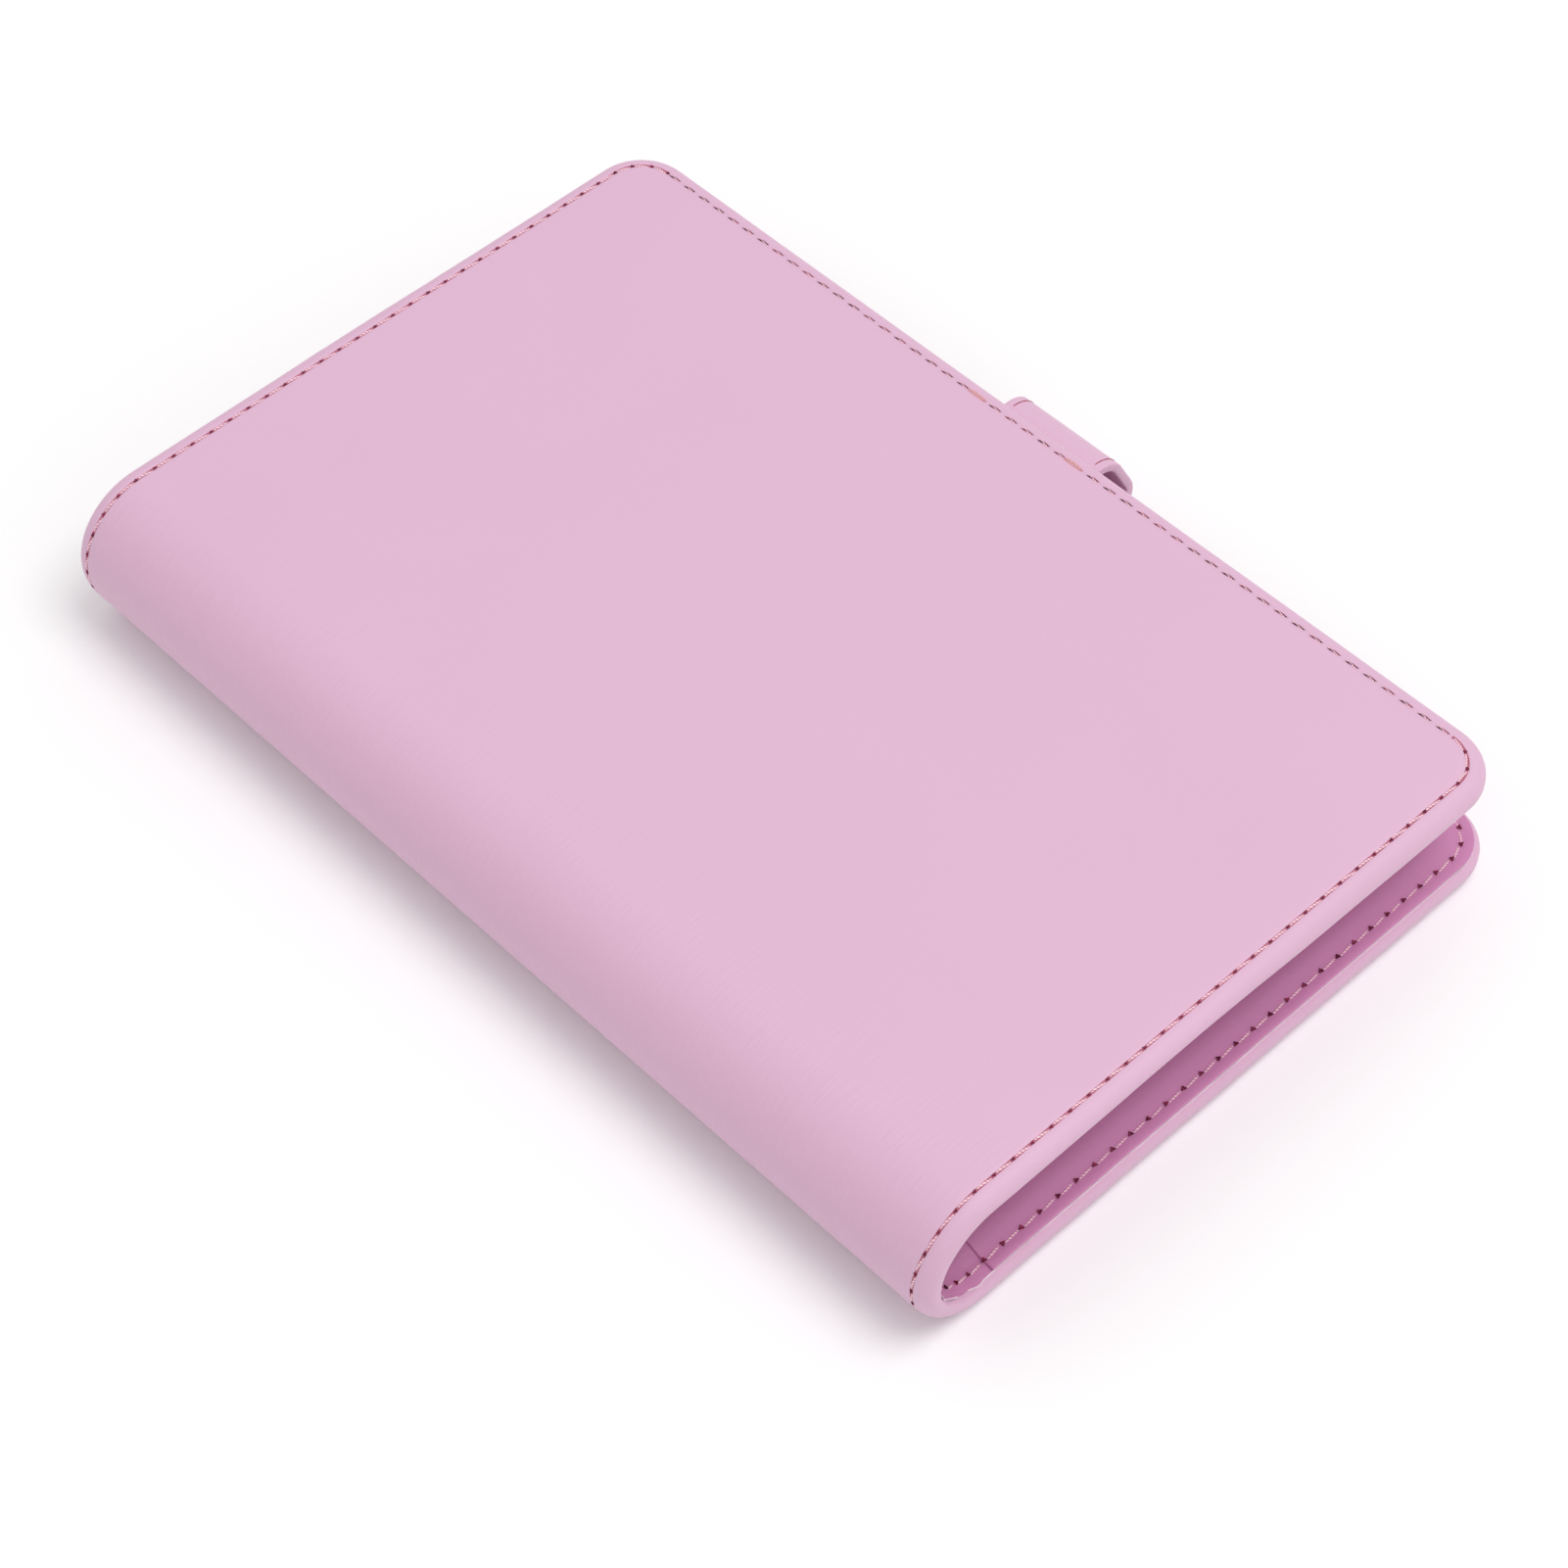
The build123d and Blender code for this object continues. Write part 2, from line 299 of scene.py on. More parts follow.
def standingOutline(name, inset, depth, low=None):
    # rounded outline of the unrolled case, or of one cover from low upwards: one face, looking outwards
    low = -backEnd + inset if low is None else low
    high = frontEnd - inset
    bpy.ops.mesh.primitive_plane_add(size=1, location=(depth, 0, (low + high) / 2),
                                     rotation=(0, -math.pi / 2, 0))
    piece = bpy.context.active_object
    piece.name = name
    piece.scale = (high - low, 2 * (halfLength - inset), 1)
    applyPlace(piece)
    startEdit(piece, "VERT")
    bpy.ops.mesh.bevel(offset=layers["cornerRadius"] - inset, affect="VERTICES",
                       segments=layers["cornerSteps"])
    endEdit()
    return piece


def standingBlock(name, inset):
    # the outline drawn out to a block, left in edit mode: only the sides between the two rounds
    block = standingOutline(name, inset, layers["outerRound"])
    startEdit(block)
    extrude(innerStart - layers["outerRound"], 0, 0)
    bpy.ops.mesh.select_all(action="SELECT")
    bpy.ops.mesh.normals_make_consistent(inside=False)
    return block


def followProfile(profile, inset, depth, way=1):
    # insets the selected face step by step through (distance from the rim, depth), starting at
    # inset and depth; way is 1 on a face that looks outwards and -1 on one that looks inwards
    for nextInset, nextDepth in profile:
        bpy.ops.mesh.inset(thickness=nextInset - inset, depth=(depth - nextDepth) * way,
                           use_even_offset=True)
        inset, depth = nextInset, nextDepth


def roundProfile(radius, depth, way, steps, last=90):
    # round from the rim's side towards a face, as (distance from the rim, depth) pairs
    pairs = []
    for number in range(1, steps + 1):
        turn = math.radians(last * number / steps)
        pairs.append((radius * (1 - math.cos(turn)), depth + way * radius * math.sin(turn)))
    return pairs


def cutGrid(piece, perFold, flatStep):
    # straight cuts across the whole piece: perFold in each fold of the bend, flatStep apart elsewhere
    startEdit(piece)
    steps = folds * perFold
    places = [-bendHalf + number * 2 * bendHalf / steps for number in range(steps + 1)]
    for end, sign in ((frontEnd, 1), (backEnd, -1)):
        count = int((end - bendHalf) / flatStep)
        places += [sign * (bendHalf + number * flatStep) for number in range(1, count + 1)]
    for place in places:
        cutAt(place, "Z")
    count = int(halfLength / flatStep)
    for number in range(-count + 1, count):
        cutAt(number * flatStep, "Y")
    endEdit()


def wrapAround(piece):
    # bends an unrolled layer round the spine and sets it in its place
    low = min(v.co.z for v in piece.data.vertices)
    high = max(v.co.z for v in piece.data.vertices)
    bendFrom = max(low, -bendHalf)
    bendTo = min(high, bendHalf)
    addModifier(piece, "SIMPLE_DEFORM", deform_method="BEND", deform_axis="Y",
                angle=(bendTo - bendFrom) / spineRadius,
                limits=((bendFrom - low) / (high - low), (bendTo - low) / (high - low)))
    piece.location = (spineLeft, 0, spineRadius)
    applyPlace(piece)


def divideAtFolds(whole, label, parts, closed=True):
    # one unrolled layer becomes six pieces that meet in the middle of the spine strips
    wrapped = copyPiece(whole, label + "_whole")
    wrapAround(wrapped)
    meetings = [(n * foldAngle - math.pi / 2) * spineRadius for n in range(1, folds)]
    edges = [-backEnd * 2, *meetings, frontEnd * 2]
    made = []
    for number, section in enumerate(sections):
        piece = copyPiece(whole, f"{label}_{section}")
        startEdit(piece)
        cutAt(edges[number], "Z", clear_inner=True, use_fill=closed)
        cutAt(edges[number + 1], "Z", clear_outer=True, use_fill=closed)
        endEdit()
        wrapAround(piece)
        # shading runs on over the cuts
        addModifier(piece, "DATA_TRANSFER", object=wrapped, use_loop_data=True,
                    data_types_loops={"CUSTOM_NORMAL"}, loop_mapping="POLYINTERP_NEAREST")
        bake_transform(piece)
        if parts:
            first = [parts[1].format(1)] if number == 0 else []
            isCover = number in (0, folds - 1)
            own = parts[0].format(section) if isCover else parts[1].format(number + 1)
            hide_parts(own, *first)
        made.append(piece)
    bpy.data.objects.remove(wrapped)
    bpy.data.objects.remove(whole)
    return made


def fromEdge(y, z):
    # distance to the rounded outline of the unrolled case
    side = halfLength - abs(y)
    end = frontEnd - z if z > 0 else backEnd + z
    radius = layers["cornerRadius"]
    if side < radius and end < radius:
        return radius - math.hypot(radius - side, radius - end)
    return min(side, end)


def ease(value, low, high):
    share = min(max((value - low) / (high - low), 0), 1)
    return share * share * (3 - 2 * share)


def thinning(y, z):
    # share of the full thickness that is left: the padding is pressed thin where the case bends,
    # and along the sewn rim outside the board
    bulk = press["bend"] + (1 - press["bend"]) * ease(abs(z), press["bendTo"], press["bendFrom"])
    rim = press["rim"][0][1]
    for (here, before), (there, after) in zip(press["rim"], press["rim"][1:]):
        if z > here * mm:
            rim = before + (after - before) * min((z - here * mm) / ((there - here) * mm), 1)
    inner = ease(fromEdge(y, z), press["rimTo"], press["rimFrom"])
    return rim + (bulk - rim) * inner


def pressThin(piece):
    for vertex in piece.data.vertices:
        vertex.co.x *= thinning(vertex.co.y, vertex.co.z)


# hand-made unevenness of the rim: how far it wanders, over what lengths, and how far in
wander = {"depth": 0.22 * mm, "outline": 0.12 * mm, "slow": 17 * mm, "quick": (9 * mm, 13 * mm),
          "reach": 3 * mm, "mostInner": 1.4}


def softWave(piece):
    # the inner side wanders more than the outer one, and the outline a little
    for vertex in piece.data.vertices:
        x, y, z = vertex.co
        inner = min(max(x / layers["coverThickness"], 0), wander["mostInner"])
        slow = noise.noise(Vector((y / wander["slow"], z / wander["slow"], 0.3)))
        quick = noise.noise(Vector((y / wander["quick"][0], z / wander["quick"][1], 4.1)))
        nearRim = max(0.0, 1 - fromEdge(y, z) / wander["reach"])
        vertex.co.x += wander["depth"] * slow * inner * nearRim
        vertex.co.y += math.copysign(wander["outline"] * nearRim * quick, y)


# groove: its cross-section, as (half widths from its middle, depth)
seam = {"inset": 2.35 * mm, "grooveHalf": 0.42 * mm, "grooveDepth": 0.26 * mm, "paintedShadeFrom": 0.07 * mm,
        "groove": ((-0.5, 0.14 * mm), (0, 0.26 * mm), (0.5, 0.14 * mm), (1.1, 0.03 * mm), (2.2, 0.0)),
        "clear": 3.2 * mm, "sidePitch": 2.97 * mm, "forePitch": 2.79 * mm, "cornerStitches": 3,
        "thread": 0.3 * mm, "slant": 6, "lean": 0.8, "archOutside": 52, "archInside": 44,
        "sideDepth": 0.1 * mm, "foreDepth": 0.16 * mm, "foreWidth": 0.7, "insideSink": 0.02 * mm,
        "holeDepth": 0.17 * mm, "holeOutside": 1.05, "holeInside": 1.5, "holeLength": 1.1,
        "holeTwist": 1.2, "shadowLineWidth": 0.55, "shadowLineLength": 4.6}
skin = {"roundSteps": 7, "roundTo": 76, "innerSteps": 4, "perFold": 12, "flatStep": 3 * mm}


def makeSkin():
    # one sheet round the whole case, its hem turned in
    outline = standingBlock("outer_skin", 0)
    selectFaces(outline, lambda face: face.normal.x < -0.9)
    groove = seam["inset"]
    half = seam["grooveHalf"]
    outer = roundProfile(layers["outerRound"], layers["outerRound"], -1, skin["roundSteps"],
                         skin["roundTo"])
    outer += [(groove + half * away, depth) for away, depth in seam["groove"]]
    outer += [(groove + seam["clear"], 0.0)]
    followProfile(outer, 0, layers["outerRound"])
    selectFaces(outline, lambda face: face.normal.x > 0.9)
    inner = roundProfile(layers["innerRound"], innerStart, 1, skin["innerSteps"])
    inner += [(place, layers["coverThickness"]) for place in [*rimRings, layers["hem"]]]
    followProfile(inner, 0, innerStart, -1)
    bpy.ops.mesh.delete(type="FACE")
    endEdit()
    cutGrid(outline, skin["perFold"], skin["flatStep"])
    softWave(outline)
    pressThin(outline)
    addModifier(outline, "SOLIDIFY", thickness=layers["skinThickness"], offset=-1)
    smooth(outline, 70)
    outline.data.materials.append(outsideFabric)
    outline.data.materials.append(grooveShade)
    # the groove's floor gets painted shade along the sides and round the corners, not along the fore seams
    for face in outline.data.polygons:
        x, y, z = face.center
        place = fromEdge(y, z)
        side = halfLength - abs(y)
        onFore = place < side - 0.01 * mm and side > layers["cornerRadius"]
        onFloor = seam["paintedShadeFrom"] < x < seam["grooveDepth"] and abs(place - groove) < half * 0.5
        face.material_index = 1 if onFloor and not onFore else 0
    return divideAtFolds(outline, "outer_skin", ("{}_outer_skin", "spine_strip_{}_skin"))


skinPieces = makeSkin()
print("outer skin", [len(p.data.polygons) for p in skinPieces])


# innerSide: what lies deeper than this is on the foam's inner side
foam = {"roundSteps": 5, "innerSteps": 2, "perFold": 6, "flatStep": 7 * mm, "innerSide": 3 * mm}
boards = [(1, "front_cover_stiffener_board"), (-1, "back_cover_stiffener_board")]


def recessFoam(piece):
    # the boards lie in recesses, with foam only over their outer faces
    for side, node in boards:
        low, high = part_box(node)
        start = bendHalf + low.x - spineX
        end = bendHalf + high.x - spineX
        startEdit(piece)
        for place in (start, end):
            cutAt(side * place, "Z")
        for place in (low.y, high.y):
            cutAt(place, "Y")
        selectFaces(piece, lambda face: face.normal.x > 0.9 and start < side * face.center.z < end
                    and low.y < face.center.y < high.y and face.center.x > foam["innerSide"])
        extrude(low.z - high.z, 0, 0)
        endEdit()


def makeFoam():
    inset = layers["foamInset"]
    outline = standingBlock("foam", inset)
    selectFaces(outline, lambda face: face.normal.x < -0.9)
    outer = roundProfile(layers["outerRound"] - inset, layers["outerRound"], -1, foam["roundSteps"])
    followProfile(outer, 0, layers["outerRound"])
    selectFaces(outline, lambda face: face.normal.x > 0.9)
    inner = roundProfile(layers["foamRound"], innerStart, 1, foam["innerSteps"])
    inner += [(place - inset, inner[-1][1]) for place in rimRings]
    followProfile(inner, 0, innerStart, -1)
    endEdit()
    cutGrid(outline, foam["perFold"], foam["flatStep"])
    pressThin(outline)
    recessFoam(outline)
    smooth(outline, 40)
    outline.data.materials.append(foamSheet)
    return divideAtFolds(outline, "foam", ("{}_foam_padding", "spine_strip_{}_foam"))


foamPieces = makeFoam()
for side, node in boards:
    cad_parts[node].data.materials.clear()
    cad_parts[node].data.materials.append(greyboard)
print("foam", [len(p.data.polygons) for p in foamPieces])


# under: depth of the side that lies on the cover; skived: (distance from the cut edge, share of the
# thickness up to there); the gathers lie inside the bend and fade out gatherReach beyond it
liner = {"under": 3.92 * mm, "edgeRings": (0.16 * mm, 0.7 * mm), "paleBand": 0.13 * mm,
         "skived": ((0.4 * mm, 0.4), (1.2 * mm, 0.7)), "gatherReach": 7 * mm, "gatherRise": 0.2 * mm,
         "gatherLength": 4.6 * mm, "gatherUneven": (8 * mm, 6 * mm), "middleShare": 0.25,
         "endsReach": 14 * mm, "edgeWave": 0.4 * mm, "edgeWaveLength": 3.2 * mm, "edgeWaveWidth": 2 * mm}


def gatherFade(z):
    return max(0.0, 1 - max(0.0, abs(z) - bendHalf) / liner["gatherReach"])


def linerRise(y, z):
    # the liner gathers on the inside of the bend, most near the tail and the head
    uneven = noise.noise(Vector((y / liner["gatherUneven"][0], z / liner["gatherUneven"][1], 7.7)))
    gather = 0.5 + 0.5 * math.sin(2 * math.pi * z / liner["gatherLength"] + 3 * uneven)
    nearEdge = math.exp(-(halfLength - abs(y)) / liner["endsReach"])
    strength = liner["middleShare"] + (1 - liner["middleShare"]) * nearEdge
    return liner["gatherRise"] * gather * gatherFade(z) * strength


def makeLiner():
    under = liner["under"]
    margin = layers["linerMargin"]
    outline = standingOutline("liner", margin, under)
    startEdit(outline)
    rings = [*liner["edgeRings"], *[place - margin for place in (*rimRings, boardEdge)]]
    followProfile([(ring, under) for ring in rings], 0, under)
    endEdit()
    cutGrid(outline, skin["perFold"], skin["flatStep"])
    softWave(outline)
    skiving = outline.vertex_groups.new(name="skiving")
    for vertex in outline.data.vertices:
        x, y, z = vertex.co
        vertex.co.x += linerRise(y, z)
        if halfLength - abs(y) < liner["edgeWaveWidth"]:
            wave = noise.noise(Vector((z / liner["edgeWaveLength"], y, 2.0)))
            vertex.co.y += math.copysign(liner["edgeWave"], y) * gatherFade(z) * wave
        edge = fromEdge(y, z) - margin
        share = next((left for reach, left in liner["skived"] if edge < reach), 1.0)
        skiving.add([vertex.index], share, "REPLACE")
    addModifier(outline, "SOLIDIFY", thickness=layers["linerFace"] - under, offset=-1,
                vertex_group="skiving")
    outline.vertex_groups.clear()
    pressThin(outline)
    smooth(outline, 40)
    # the lining colour is partly painted shade for the gap between the covers
    outline.data.materials.append(liningWithPaintedShade)
    outline.data.materials.append(cutEdgeAndHighlight)
    # the outermost 0.13 mm is pale: the cut edge's own backing, and on the top face a painted highlight
    # along the edge
    for face in outline.data.polygons:
        edge = fromEdge(face.center.y, face.center.z) - margin
        face.material_index = 1 if edge < liner["paleBand"] else 0
    return divideAtFolds(outline, "liner", ("{}_liner", "spine_strip_{}_liner"))


linerPieces = makeLiner()
print("liner", [len(p.data.polygons) for p in linerPieces])


# made longer by spare and cut off at the mouth, which is past the bend's end by mouth
pocket = {"mouth": 1.5 * mm, "spare": 12 * mm, "sheet": 0.34 * mm, "gap": 0.02 * mm, "slack": 0.16 * mm,
          "slackRing": 0.6 * mm, "seamRings": (1.1 * mm, 1.55 * mm, 2.0 * mm), "seamDip": 0.12 * mm,
          "mouthRound": 0.17 * mm, "lift": 0.06 * mm, "liftReach": 5 * mm, "liftEnds": 3 * mm,
          "liftLength": 12 * mm, "ripple": 0.06 * mm, "rippleLength": 11 * mm, "fineCuts": 3,
          "fineStep": 0.8 * mm, "cuts": 33, "step": 2.5 * mm, "sideCuts": 24, "sideStep": 3 * mm}


def layOnCover(piece, front):
    # from the unrolled case straight on to one cover
    if not front:
        piece.rotation_euler = (math.pi, 0, 0)
        applyPlace(piece)
    piece.rotation_euler = (0, math.pi / 2 if front else -math.pi / 2, 0)
    piece.location = (spineX - bendHalf, 0, 2 * spineRadius if front else 0)
    applyPlace(piece)


def makePocket(front):
    # both are made on the front cover's side of the unrolled case, the back one turned over at the end
    name = "front_cover" if front else "back_cover"
    longer = 0 if front else backEnd - frontEnd
    margin = layers["linerMargin"]
    face = layers["linerFace"] + pocket["gap"]
    mouth = bendHalf + pocket["mouth"]
    outline = standingOutline(name + "_passport_pocket_panel", margin, face,
                              mouth - pocket["spare"] - longer)
    startEdit(outline)
    if not front:
        bpy.ops.transform.translate(value=(0, 0, longer))
    selectFaces(outline, lambda polygon: True)
    before, onSeam, after = pocket["seamRings"]
    profile = [(before, face), (onSeam, face - pocket["seamDip"]), (after, face)]
    profile += [(place - margin, face) for place in rimRings[1:]]
    raised = face + pocket["slack"]
    profile += [(boardEdge - margin, raised), (boardEdge - margin + pocket["slackRing"], raised)]
    followProfile(profile, 0, face)
    cutAt(mouth, "Z", clear_inner=True)
    for number in range(1, pocket["cuts"] + 1):
        step = pocket["step"] if number > pocket["fineCuts"] else pocket["fineStep"]
        cutAt(mouth + number * step, "Z")
    for number in range(-pocket["sideCuts"], pocket["sideCuts"] + 1):
        cutAt(number * pocket["sideStep"], "Y")
    endEdit()
    for vertex in outline.data.vertices:
        x, y, z = vertex.co
        along = max(0.0, 1 - (z - mouth) / pocket["liftReach"])
        across = max(0.0, 1 - (abs(y) / (halfLength - pocket["liftEnds"])) ** 4)
        uneven = 0.7 + 0.3 * noise.noise(Vector((y / pocket["liftLength"], 0, 3)))
        ripple = noise.noise(Vector((y / pocket["rippleLength"], z / pocket["rippleLength"], 9)))
        vertex.co.x += pocket["lift"] * along * across * uneven
        vertex.co.x += pocket["ripple"] * ripple
        vertex.co.x *= thinning(y, z if front else -z)
    addModifier(outline, "SOLIDIFY", thickness=pocket["sheet"], offset=-1)
    addModifier(outline, "BEVEL", width=pocket["mouthRound"], segments=3, limit_method="ANGLE",
                angle_limit=math.radians(60))
    smooth(outline, 60)
    # the lining colour is partly painted shade for the gap between the covers
    outline.data.materials.append(liningWithPaintedShade)
    layOnCover(outline, front)
    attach(outline, name)
    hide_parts(name + "_passport_pocket")
    return outline


pocketPieces = [makePocket(True), makePocket(False)]
print("pockets", [len(p.data.polygons) for p in pocketPieces])


def seamJunctions():
    # where the needle went in, round the unrolled case as (y, z), the tail's side first
    radius = layers["cornerRadius"] - seam["inset"]
    side = halfLength - seam["inset"]
    top = frontEnd - seam["inset"]
    bottom = -backEnd + seam["inset"]
    tail, head = -side + radius, side - radius
    low, high = bottom + radius, top - radius
    runs = [((-side, low), (-side, high), seam["sidePitch"], (tail, high), math.pi),
            ((tail, top), (head, top), seam["forePitch"], (head, high), math.pi / 2),
            ((side, high), (side, low), seam["sidePitch"], (head, low), 0),
            ((head, bottom), (tail, bottom), seam["forePitch"], (tail, low), -math.pi / 2)]
    points = []
    for start, end, pitch, corner, turn in runs:
        count = round(math.dist(start, end) / pitch)
        for number in range(count):
            share = number / count
            points.append((start[0] + (end[0] - start[0]) * share, start[1] + (end[1] - start[1]) * share))
        points += arc(corner, radius, turn, turn - math.pi / 2, seam["cornerStitches"])[:-1]
    return points


def makeStitch(stuff, arch):
    # one arched stitch along Z, its ends deeper than its middle, which stands towards -X
    bpy.ops.mesh.primitive_cylinder_add(vertices=6, radius=seam["thread"] / 2, depth=seam["sidePitch"],
                                        end_fill_type="NOTHING")
    stitch = bpy.context.active_object
    startEdit(stitch)
    for number in range(-2, 3):
        cutAt(number * seam["sidePitch"] / 6, "Z")
    endEdit()
    addModifier(stitch, "SIMPLE_DEFORM", deform_method="BEND", deform_axis="Y", angle=math.radians(arch))
    bpy.ops.object.shade_smooth()
    stitch.data.materials.append(stuff)
    return stitch


hole = {"rim": 0.27 * mm, "bottom": 0.08 * mm, "depth": 0.3 * mm, "lip": 0.05 * mm, "sink": 0.1 * mm}


def makeHole():
    # a three-cornered tear with a sunk middle, coloured dark with painted shade
    bpy.ops.mesh.primitive_cone_add(vertices=3, radius1=hole["rim"], radius2=hole["bottom"],
                                    depth=hole["depth"], rotation=(0, math.pi / 2, 0))
    tear = bpy.context.active_object
    applyPlace(tear)
    startEdit(tear)
    selectFaces(tear, lambda face: face.normal.x < -0.9)
    bpy.ops.mesh.inset(thickness=hole["lip"], depth=-hole["sink"])
    endEdit()
    tear.data.materials.append(holeShade)
    return tear


def placeCopy(master, place, along, outward, scale=(1, 1, 1), twist=0.0):
    # the master's Z goes along, its -X outward; scale is (depth, across, along)
    along = Vector(along).normalized()
    across = Vector(outward).cross(along).normalized()
    outward = along.cross(across)
    turn = Matrix((-outward, -across, along)).transposed().to_4x4() @ Matrix.Rotation(twist, 4, "X")
    twin = copyPiece(master, "copy")
    twin.matrix_world = Matrix.Translation(place) @ turn @ Matrix.Diagonal((*scale, 1))
    return twin


def insideDepth(y, z):
    # depth of the face that the inside stitches lie on: the pocket panels, or the liner between them
    if abs(z) > bendHalf + pocket["mouth"]:
        return (layers["linerFace"] + pocket["sheet"]) * thinning(y, z)
    return (layers["linerFace"] + linerRise(y, z)) * thinning(y, z)


def makeSeam(inside):
    points = seamJunctions()
    stitch = makeStitch(seamThread, seam["archInside"] if inside else seam["archOutside"])
    tear = makeHole()
    threads = []
    holes = []
    slant = math.radians(seam["slant"])
    outward = (1, 0, 0) if inside else (-1, 0, 0)
    size = seam["holeInside"] if inside else seam["holeOutside"]
    tearScale = (size, size, size * seam["holeLength"])
    for number, (y, z) in enumerate(points):
        nextY, nextZ = points[(number + 1) % len(points)]
        middle = ((y + nextY) / 2, (z + nextZ) / 2)
        straight = Vector((0, nextY - y, nextZ - z))
        stretch = straight.length / seam["sidePitch"]
        lean = noise.noise(Vector((number * 0.7, 5.3 if inside else 1.7, 0)))
        along = Matrix.Rotation(slant * (1 + seam["lean"] * lean), 3, "X") @ straight
        onFore = not inside and abs(z - nextZ) < 0.1 * mm
        depth = seam["foreDepth"] if onFore else seam["sideDepth"]
        if inside:
            depth = insideDepth(*middle) + seam["insideSink"]
        width = seam["foreWidth"] if onFore else 1
        threads.append(placeCopy(stitch, (depth, *middle), along, outward, (1, width, stretch)))
        if onFore:
            # painted shadow: a dark line beside each stitch of the fore seams, where the groove is in
            # shade
            shadowLine = Matrix.Rotation(-slant, 3, "X") @ straight
            holes.append(placeCopy(tear, (seam["holeDepth"], *middle), shadowLine, outward,
                                   (1, seam["shadowLineWidth"], seam["shadowLineLength"])))
        else:
            holeDepth = insideDepth(y, z) if inside else seam["holeDepth"]
            holes.append(placeCopy(tear, (holeDepth, y, z), straight, outward, tearScale,
                                   seam["holeTwist"] * lean))
    bpy.data.objects.remove(stitch)
    bpy.data.objects.remove(tear)
    label = "inside" if inside else "outside"
    stitchName = label + "_stitches"
    holeName = label + "_needle_hole_shade"
    threadPieces = divideAtFolds(joinPieces(threads, stitchName), stitchName,
                                 ("{}_seam_thread", "spine_strip_{}_thread"), closed=False)
    divideAtFolds(joinPieces(holes, holeName), holeName, None, closed=False)
    return threadPieces


for inside in (False, True):
    print("seam", [len(p.data.polygons) for p in makeSeam(inside)])


# lip, out and wall are measured outwards from the front cover's rim, drop down from its top
loop = {"lip": 1.2 * mm, "drop": 2.25 * mm, "shoulder": 4.4 * mm, "out": 3.7 * mm, "round": 4.2 * mm,
        "middle": 9.7 * mm, "strap": 1.25 * mm, "tongue": 2.6 * mm, "wall": 0.05 * mm, "tuck": 0.3 * mm,
        "shoulderSteps": 12, "roundSteps": 24, "cuts": (-7.7, -7.1, -6.5, -3, 0, 3, 6.5, 7.1, 7.7),
        "seamInset": 1.15 * mm, "seamWidth": 0.35 * mm, "seamDepth": 0.1 * mm, "edgeRound": 0.22 * mm,
        "arch": 24, "stitchScale": (0.7, 0.8), "stitchReach": 1.04, "stitchLift": 0.02 * mm}


def loopLine(inset):
    # outer line of the strap in X and Z, from the rim out, down and back up to the rim
    root = 2 * spineRadius - loop["drop"]
    shoulder = (frontFore + loop["lip"], root - loop["shoulder"])
    middle = (frontFore + loop["out"], loop["middle"])
    apart = math.dist(shoulder, middle)
    side = (math.atan2(middle[1] - shoulder[1], middle[0] - shoulder[0])
            + math.acos((loop["shoulder"] - loop["round"]) / apart))
    kneeX = frontFore + loop["wall"]
    kneeZ = 2 * spineRadius - layers["pocketFace"] - loop["tuck"]
    toKnee = math.dist(middle, (kneeX, kneeZ))
    leave = math.atan2(kneeZ - middle[1], kneeX - middle[0]) + math.acos(loop["round"] / toKnee)
    points = [(frontFore - loop["tongue"], root - inset), (frontFore + loop["lip"] / 2, root - inset)]
    points += arc(shoulder, loop["shoulder"] - inset, math.pi / 2, side, loop["shoulderSteps"])
    points += arc(middle, loop["round"] - inset, side, leave - 2 * math.pi, loop["roundSteps"])
    points.append((kneeX + inset, kneeZ))
    points.append((kneeX + inset, root - loop["strap"] - loop["tuck"]))
    return points


def makePenLoop():
    low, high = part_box("pen_loop")
    line = loopLine(0)
    start, second = line[0], line[1]
    bpy.ops.mesh.primitive_plane_add(size=1, location=((start[0] + second[0]) / 2, 0, start[1]))
    strap = bpy.context.active_object
    strap.name = "pen_loop_strap"
    strap.scale = (second[0] - start[0], high.y - low.y, 1)
    applyPlace(strap)
    startEdit(strap, "EDGE")
    bpy.ops.mesh.select_all(action="DESELECT")
    endEdit()
    for edge in strap.data.edges:
        edge.select = all(strap.data.vertices[v].co.x > second[0] - 0.01 * mm for v in edge.vertices)
    bpy.ops.object.mode_set(mode="EDIT")
    for here, there in zip(line[1:], line[2:]):
        extrude(there[0] - here[0], 0, there[1] - here[1])
    for place in loop["cuts"]:
        cutAt(place * mm, "Y")
    bpy.ops.mesh.select_all(action="SELECT")
    bpy.ops.mesh.normals_make_consistent(inside=False)
    endEdit()
    for vertex in strap.data.vertices:
        fromSeam = abs(vertex.co.y) - (high.y - loop["seamInset"])
        if vertex.co.x > frontFore + loop["lip"]:
            vertex.co.x -= loop["seamDepth"] * math.exp(-(fromSeam / loop["seamWidth"]) ** 2)
    addModifier(strap, "SOLIDIFY", thickness=loop["strap"], offset=-1, use_even_offset=True)
    addModifier(strap, "BEVEL", width=loop["edgeRound"], segments=3, limit_method="ANGLE",
                angle_limit=math.radians(60))
    smooth(strap, 50)
    strap.data.materials.append(outsideFabric)
    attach(strap, "front_cover")
    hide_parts("pen_loop")
    return strap


def joinThread(copies, name, node):
    piece = joinPieces(copies, name)
    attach(piece, "front_cover")
    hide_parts(node)


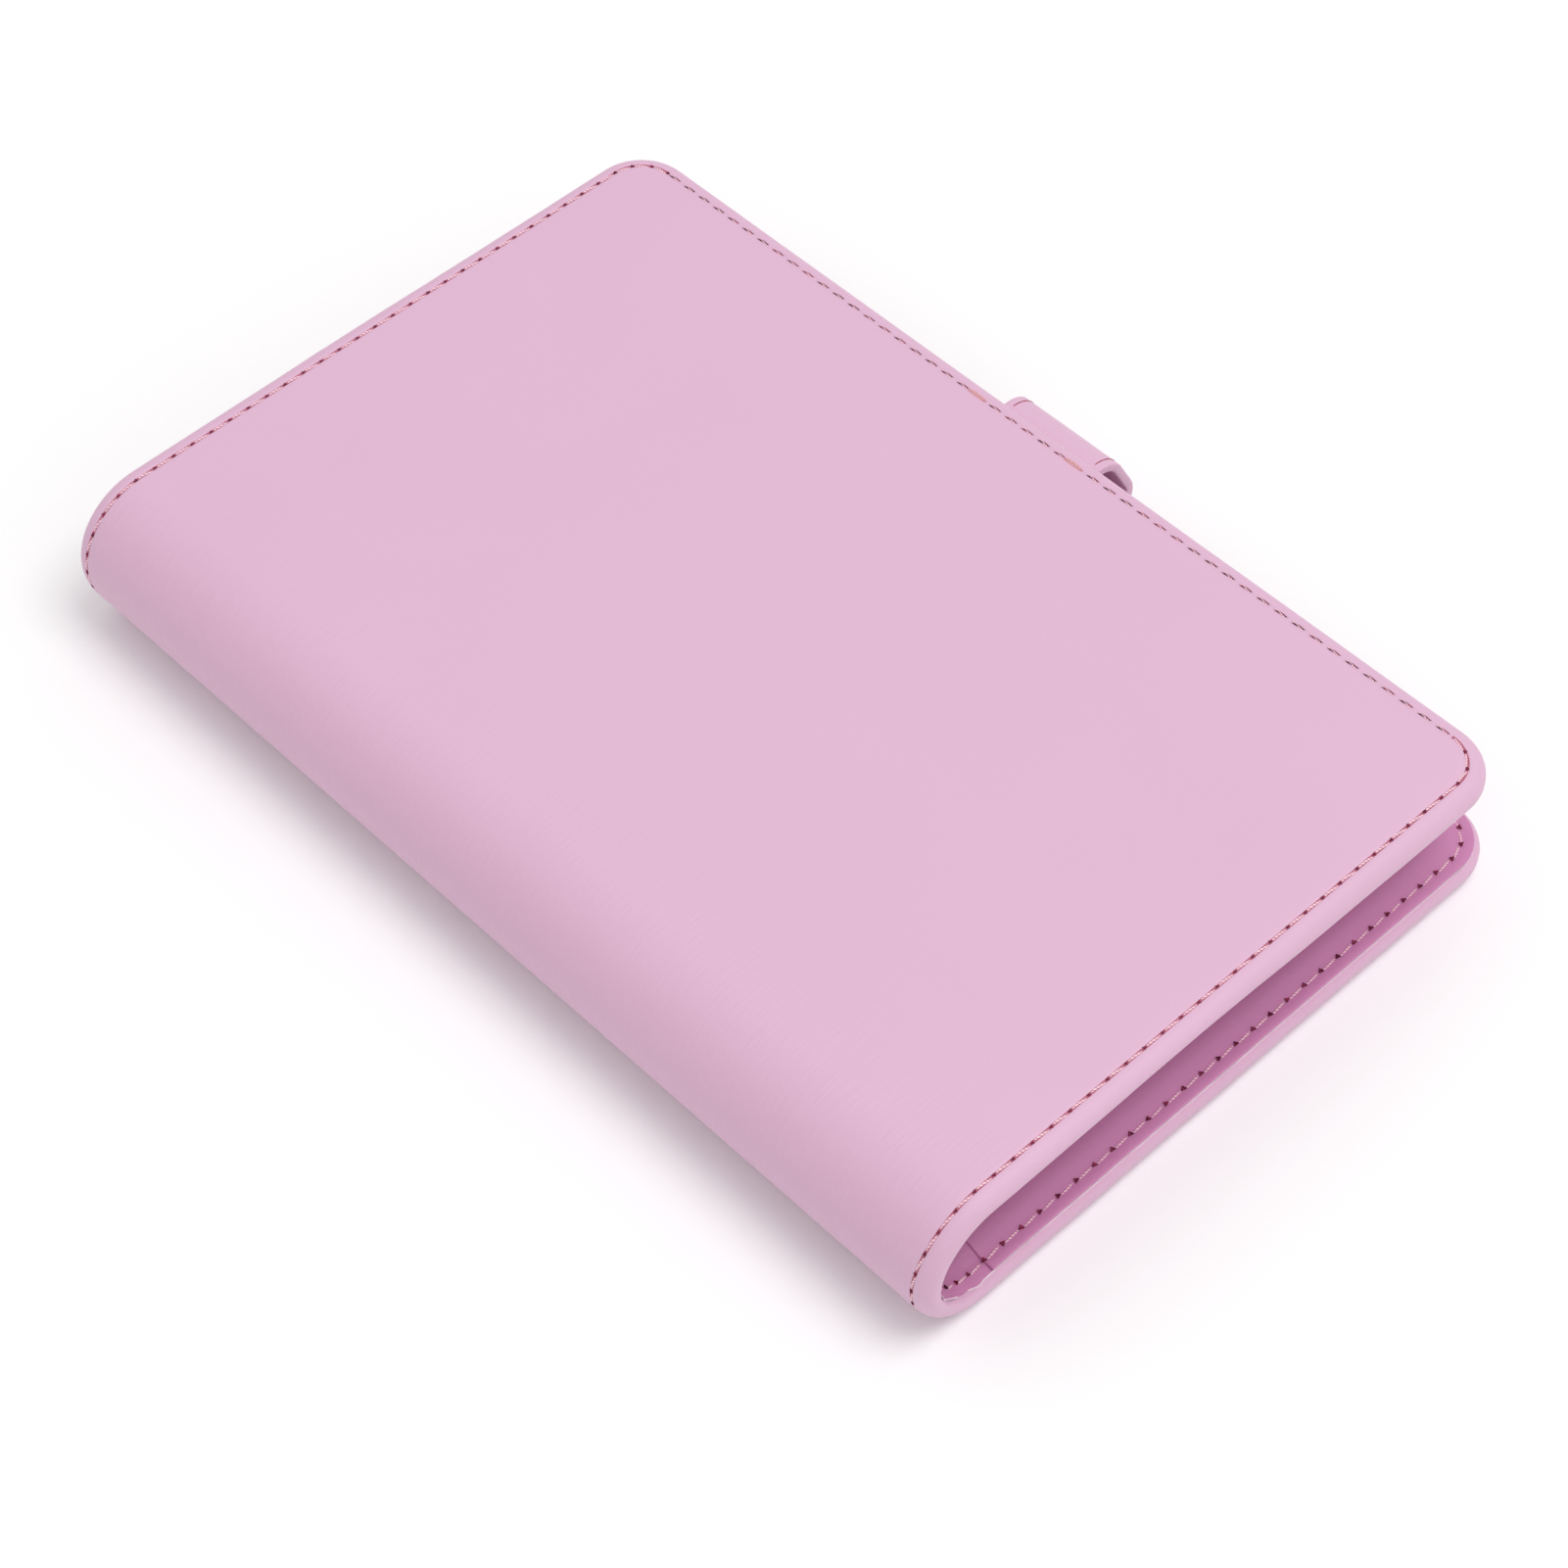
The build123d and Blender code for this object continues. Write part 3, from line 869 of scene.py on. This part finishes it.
def makeLoopStitches():
    # one stitch over every four points of the strap's line, along both of its edges
    line = loopLine(-loop["stitchLift"])[2:-6]
    stitch = makeStitch(loopThread, loop["arch"])
    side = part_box("pen_loop")[1].y - loop["seamInset"]
    copies = []
    for y in (-side, side):
        for here, there in zip(line[::4], line[4::4]):
            middle = ((here[0] + there[0]) / 2, y, (here[1] + there[1]) / 2)
            along = Vector((there[0] - here[0], 0, there[1] - here[1]))
            outward = along.cross(Vector((0, 1, 0)))
            outward = outward if outward.x > 0 or outward.z > 0 else -outward
            reach = along.length / seam["sidePitch"] * loop["stitchReach"]
            copies.append(placeCopy(stitch, middle, along, outward, (*loop["stitchScale"], reach)))
    bpy.data.objects.remove(stitch)
    joinThread(copies, "pen_loop_edge_stitches", "pen_loop_stitching")


tack = {"length": 3.2 * mm, "step": 0.34 * mm, "widest": 0.95 * mm, "least": 0.15 * mm,
        "slant": 0.25, "lift": 0.02 * mm}


def makeBarTacks():
    # dense zigzag over the seam where the strap's ends are held, widest in its middle
    stitch = makeStitch(tackThread, seam["archOutside"])
    copies = []
    low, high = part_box("fore_seam_bar_tacks")
    for middleY in (low.y + tack["length"] / 2, high.y - tack["length"] / 2):
        for number in range(-4, 5):
            share = number / 4.5
            width = tack["widest"] * (1 - share * share) + tack["least"]
            place = ((low.x + high.x) / 2, middleY + number * tack["step"], 2 * spineRadius + tack["lift"])
            copies.append(placeCopy(stitch, place, (1, tack["slant"], 0), (0, 0, 1),
                                    (1, 1, width / seam["sidePitch"])))
    bpy.data.objects.remove(stitch)
    joinThread(copies, "bar_tacks", "fore_seam_bar_tacks")


penLoop = makePenLoop()
makeLoopStitches()
makeBarTacks()
print("pen loop", len(penLoop.data.polygons))


# places and the lamp's size are in mm, angles in degrees
ground = {"size": 6, "drop": 0.02 * mm, "white": 0.97, "roughness": 0.9}
light = {"walls": 0.47, "ceiling": 0.88, "lamp": (250, -450, 1400), "lampSize": 900, "power": 8.6}
view = {"place": (-214.65, -220.35, 371.5), "yaw": 45.95, "pitch": 51.29, "lens": 88.7, "sensor": 36}


def setFloor():
    bpy.ops.mesh.primitive_plane_add(size=ground["size"], location=(0, 0, -ground["drop"]))
    floor = bpy.context.active_object
    floor.name = "floor"
    material, _, shader = startMaterial("matt white floor")
    shader.inputs["Base Color"].default_value = (ground["white"], ground["white"], ground["white"], 1)
    shader.inputs["Roughness"].default_value = ground["roughness"]
    floor.data.materials.append(material)


def setLight():
    # a bright ceiling over darker walls, and one large soft lamp
    world = bpy.data.worlds.new("studio")
    bpy.context.scene.world = world
    world.use_nodes = True
    tree = world.node_tree
    way = addNode(tree, "ShaderNodeTexCoord").outputs["Generated"]
    height = addNode(tree, "ShaderNodeSeparateXYZ", {"Vector": way}).outputs["Z"]
    ramp = addNode(tree, "ShaderNodeMapRange", {
        "Value": height, "To Min": light["walls"], "To Max": light["ceiling"]})
    tree.links.new(ramp.outputs["Result"], tree.nodes["Background"].inputs["Strength"])
    tree.nodes["Background"].inputs["Color"].default_value = (1, 1, 1, 1)
    bpy.ops.object.light_add(type="AREA", location=[v * mm for v in light["lamp"]])
    lamp = bpy.context.active_object
    lamp.name = "key"
    lamp.data.shape = "DISK"
    lamp.data.size = light["lampSize"] * mm
    lamp.data.energy = light["power"]
    lamp.rotation_euler = (-Vector(lamp.location)).to_track_quat("-Z", "Y").to_euler()


def setCamera():
    yaw = math.radians(view["yaw"])
    pitch = math.radians(view["pitch"])
    look = Vector((math.cos(pitch) * math.cos(yaw), math.cos(pitch) * math.sin(yaw), -math.sin(pitch)))
    bpy.ops.object.camera_add(location=[v * mm for v in view["place"]],
                              rotation=look.to_track_quat("-Z", "Y").to_euler())
    camera = bpy.context.active_object
    camera.data.lens = view["lens"]
    camera.data.sensor_width = view["sensor"]
    camera.data.clip_start = 0.01
    bpy.context.scene.camera = camera


setFloor()
setLight()
setCamera()
bpy.context.scene.view_settings.view_transform = "Standard"
